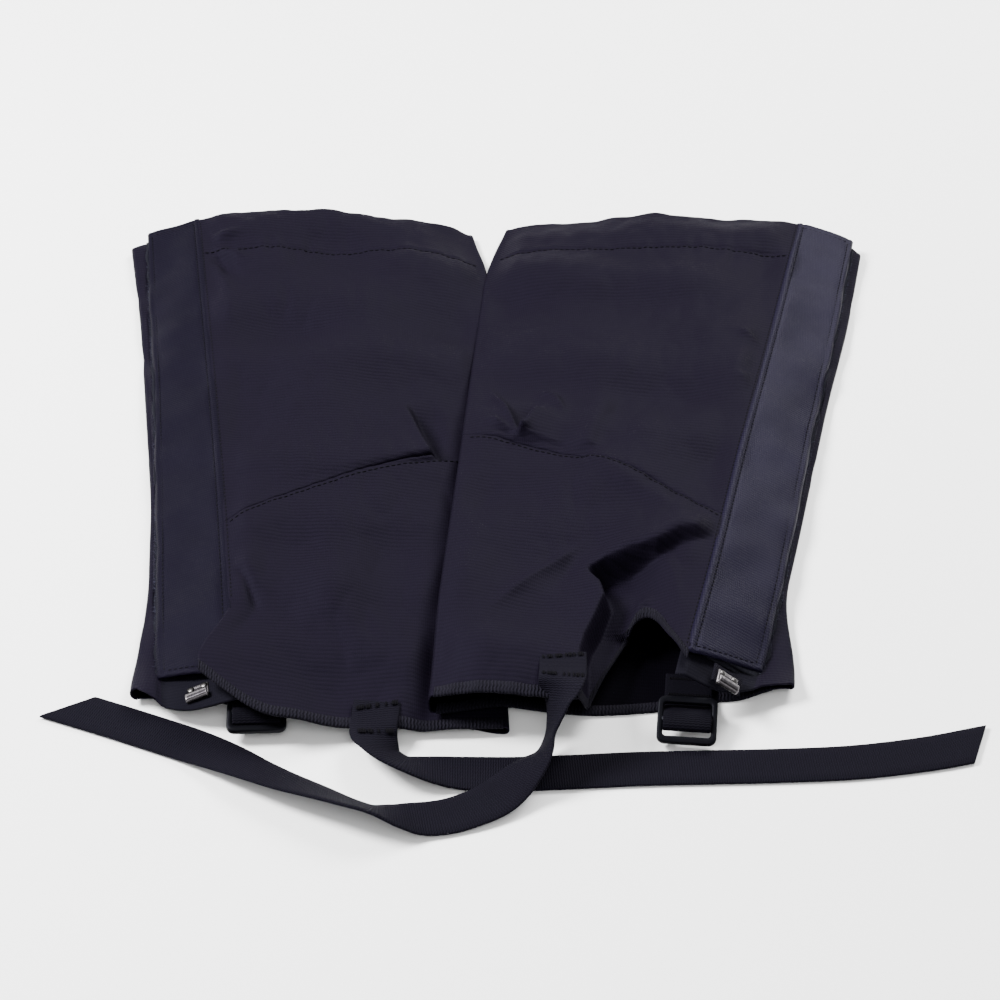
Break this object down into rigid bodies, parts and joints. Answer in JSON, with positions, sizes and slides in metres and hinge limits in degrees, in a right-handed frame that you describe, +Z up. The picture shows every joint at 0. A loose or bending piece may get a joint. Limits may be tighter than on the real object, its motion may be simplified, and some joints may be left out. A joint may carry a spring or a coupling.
{
  "type": "hiking gaiters",
  "caption": "Pair of knee-high cloth gaiters lying on their sides: front flap over a hook-and-loop closure, lace hook, instep strap of webbing and slider buckle.",
  "frame": {"origin": "centre of the pair's footprint on the surface that it lies on", "axes": "+Y from the boot openings to the leg openings, +Z up off the surface, +X towards the right gaiter"},
  "size_m": [0.4084, 0.4663, 0.0275],
  "materials": {
    "shell_cloth": "matte ripstop weave",
    "flap_cloth": "smooth coated weave",
    "lining": "matte",
    "binding_tape": "ribbed tape",
    "webbing": "ribbed webbing",
    "hook_and_loop": "brushed pile",
    "elastic": "knitted",
    "thread": "satin thread",
    "steel": "satin",
    "buckle_plastic": "satin moulded"
  },
  "bodies": {
    "left_gaiter": {"left_strap_side_leg_panel": "shell_cloth", "left_buckle_side_leg_panel": "shell_cloth", "left_strap_side_boot_panel": "shell_cloth", "left_buckle_side_boot_panel": "shell_cloth", "left_top_hem": "lining", "left_top_elastic": "elastic", "left_ankle_elastic": "elastic", "left_strap_side_binding": "binding_tape", "left_buckle_side_binding": "binding_tape", "left_placket": "lining", "left_placket_hook_tape": "hook_and_loop", "left_hook_patch": "webbing", "left_lace_hook": "steel", "left_lace_hook_rivets": "steel", "left_instep_strap": "webbing", "left_strap_bartack": "thread", "left_buckle_tab": "webbing", "left_tab_bartack": "thread"},
    "left_flap": {"left_front_flap": "flap_cloth", "left_flap_loop_tape": "hook_and_loop"},
    "left_slider": {"left_slider_buckle": "buckle_plastic"},
    "right_gaiter": {"right_strap_side_leg_panel": "shell_cloth", "right_buckle_side_leg_panel": "shell_cloth", "right_strap_side_boot_panel": "shell_cloth", "right_buckle_side_boot_panel": "shell_cloth", "right_top_hem": "lining", "right_top_elastic": "elastic", "right_ankle_elastic": "elastic", "right_strap_side_binding": "binding_tape", "right_buckle_side_binding": "binding_tape", "right_placket": "lining", "right_placket_hook_tape": "hook_and_loop", "right_hook_patch": "webbing", "right_lace_hook": "steel", "right_lace_hook_rivets": "steel", "right_instep_strap": "webbing", "right_strap_bartack": "thread", "right_buckle_tab": "webbing", "right_tab_bartack": "thread"},
    "right_flap": {"right_front_flap": "flap_cloth", "right_flap_loop_tape": "hook_and_loop"},
    "right_slider": {"right_slider_buckle": "buckle_plastic"}
  },
  "joints": [
    {"name": "right_gaiter_lift", "type": "slide", "parent": "left_gaiter", "child": "right_gaiter", "axis": [0, 0, 1], "range_m": [0, 0.15]},
    {"name": "left_flap_peel", "type": "hinge", "parent": "left_gaiter", "child": "left_flap", "pos_m": [-0.1082, -0.17096, 0.018], "axis": [-0.156, 0.9877, -0.0027], "range_deg": [0, 150]},
    {"name": "left_slider_swing", "type": "hinge", "parent": "left_gaiter", "child": "left_slider", "pos_m": [-0.09886, -0.19006, 0.0075], "axis": [0.999, 0.0436, 0], "range_deg": [0, 6]},
    {"name": "right_flap_peel", "type": "hinge", "parent": "right_gaiter", "child": "right_flap", "pos_m": [0.08936, -0.17197, 0.025], "axis": [-0.2075, -0.978, 0.0215], "range_deg": [0, 150]},
    {"name": "right_slider_swing", "type": "hinge", "parent": "right_gaiter", "child": "right_slider", "pos_m": [0.08102, -0.19592, 0.0075], "axis": [0.9954, -0.0958, 0], "range_deg": [0, 12]}
  ]
}
